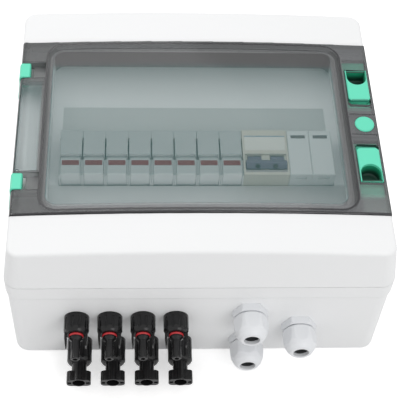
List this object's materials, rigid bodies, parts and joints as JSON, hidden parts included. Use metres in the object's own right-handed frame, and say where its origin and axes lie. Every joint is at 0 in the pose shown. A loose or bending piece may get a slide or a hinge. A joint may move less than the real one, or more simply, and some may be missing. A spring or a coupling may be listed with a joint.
{
  "type": "solar combiner box",
  "caption": "Wall-mounted solar combiner box with a hinged clear door over fuse holders, a breaker and a surge protector, plug-in connectors and cable glands",
  "frame": {"origin": "middle of the flat back face, which goes against the wall", "axes": "+Z out of the front door, +Y up the wall, +X to the right seen from the front; the cable entries are in the -Y wall"},
  "size_m": [0.3, 0.2971, 0.1422],
  "materials": {
    "housing": "fine spark texture, light grey",
    "tint": "smoke-tinted clear plastic, glossy",
    "accent": "satin green plastic",
    "seal": "soft black foam rubber",
    "steel": "zinc-plated steel",
    "fixing": "light grey plastic",
    "device": "satin light grey plastic",
    "device_warm": "satin warm grey plastic",
    "lever": "satin dark blue-grey plastic",
    "cartridge": "satin grey plastic",
    "copper": "bare copper",
    "brass": "nickel-free brass",
    "gland": "satin light grey nylon",
    "black": "glossy black plastic",
    "ring": "red silicone rubber"
  },
  "bodies": {
    "enclosure": {"base_box": "housing", "breaker_body": "device_warm", "connector_locknuts": "black", "cover_gasket": "seal", "cover_screws": "fixing", "din_rail": "steel", "door_seal": "seal", "earth_bar": "brass", "earth_bar_screws": "brass", "front_cover": "housing", "fuse_comb": "copper", "fuse_holder_1": "device", "fuse_holder_2": "device", "fuse_holder_3": "device", "fuse_holder_4": "device", "fuse_holder_5": "device", "fuse_holder_6": "device", "fuse_holder_7": "device", "fuse_holder_8": "device", "gland_body_1": "gland", "gland_body_2": "gland", "gland_body_3": "gland", "gland_locknuts": "gland", "gland_nut_1": "gland", "gland_nut_2": "gland", "gland_nut_3": "gland", "gland_seals": "seal", "hinge_block_lower": "accent", "hinge_block_upper": "accent", "hinge_pins": "steel", "latch_keepers": "fixing", "lower_connector_1": "black", "lower_connector_2": "black", "lower_connector_3": "black", "lower_connector_4": "black", "lower_connector_nuts": "black", "rail_screws": "steel", "seal_rings": "ring", "surge_base": "device_warm", "surge_cartridge_left": "cartridge", "surge_cartridge_right": "cartridge", "upper_connector_1": "black", "upper_connector_2": "black", "upper_connector_3": "black", "upper_connector_4": "black", "upper_connector_nuts": "black"},
    "door": {"door": "tint", "lock_plug": "accent"},
    "latch_upper": {"latch_upper": "accent"},
    "latch_lower": {"latch_lower": "accent"},
    "breaker_toggle": {"breaker_toggle": "lever"},
    "fuse_carrier_1": {"fuse_carrier_1": "device"},
    "fuse_carrier_2": {"fuse_carrier_2": "device"},
    "fuse_carrier_3": {"fuse_carrier_3": "device"},
    "fuse_carrier_4": {"fuse_carrier_4": "device"},
    "fuse_carrier_5": {"fuse_carrier_5": "device"},
    "fuse_carrier_6": {"fuse_carrier_6": "device"},
    "fuse_carrier_7": {"fuse_carrier_7": "device"},
    "fuse_carrier_8": {"fuse_carrier_8": "device"}
  },
  "joints": [
    {"name": "door_hinge", "type": "hinge", "parent": "enclosure", "child": "door", "pos_m": [-0.1414, 0, 0.13508], "axis": [0, -1, 0], "range_deg": [0, 110]},
    {"name": "latch_upper_slide", "type": "slide", "parent": "door", "child": "latch_upper", "axis": [0, -1, 0], "range_m": [0, 0.004]},
    {"name": "latch_lower_slide", "type": "slide", "parent": "door", "child": "latch_lower", "axis": [0, 1, 0], "range_m": [0, 0.004]},
    {"name": "breaker_lever", "type": "hinge", "parent": "enclosure", "child": "breaker_toggle", "pos_m": [0, -0.031, 0.1275], "axis": [-1, 0, 0], "range_deg": [0, 70]},
    {"name": "fuse_carrier_1_swing", "type": "hinge", "parent": "enclosure", "child": "fuse_carrier_1", "pos_m": [0, -0.044, 0.126], "axis": [1, 0, 0], "range_deg": [0, 12]},
    {"name": "fuse_carrier_2_swing", "type": "hinge", "parent": "enclosure", "child": "fuse_carrier_2", "pos_m": [0, -0.044, 0.126], "axis": [1, 0, 0], "range_deg": [0, 12]},
    {"name": "fuse_carrier_3_swing", "type": "hinge", "parent": "enclosure", "child": "fuse_carrier_3", "pos_m": [0, -0.044, 0.126], "axis": [1, 0, 0], "range_deg": [0, 12]},
    {"name": "fuse_carrier_4_swing", "type": "hinge", "parent": "enclosure", "child": "fuse_carrier_4", "pos_m": [0, -0.044, 0.126], "axis": [1, 0, 0], "range_deg": [0, 12]},
    {"name": "fuse_carrier_5_swing", "type": "hinge", "parent": "enclosure", "child": "fuse_carrier_5", "pos_m": [0, -0.044, 0.126], "axis": [1, 0, 0], "range_deg": [0, 12]},
    {"name": "fuse_carrier_6_swing", "type": "hinge", "parent": "enclosure", "child": "fuse_carrier_6", "pos_m": [0, -0.044, 0.126], "axis": [1, 0, 0], "range_deg": [0, 12]},
    {"name": "fuse_carrier_7_swing", "type": "hinge", "parent": "enclosure", "child": "fuse_carrier_7", "pos_m": [0, -0.044, 0.126], "axis": [1, 0, 0], "range_deg": [0, 12]},
    {"name": "fuse_carrier_8_swing", "type": "hinge", "parent": "enclosure", "child": "fuse_carrier_8", "pos_m": [0, -0.044, 0.126], "axis": [1, 0, 0], "range_deg": [0, 12]}
  ]
}
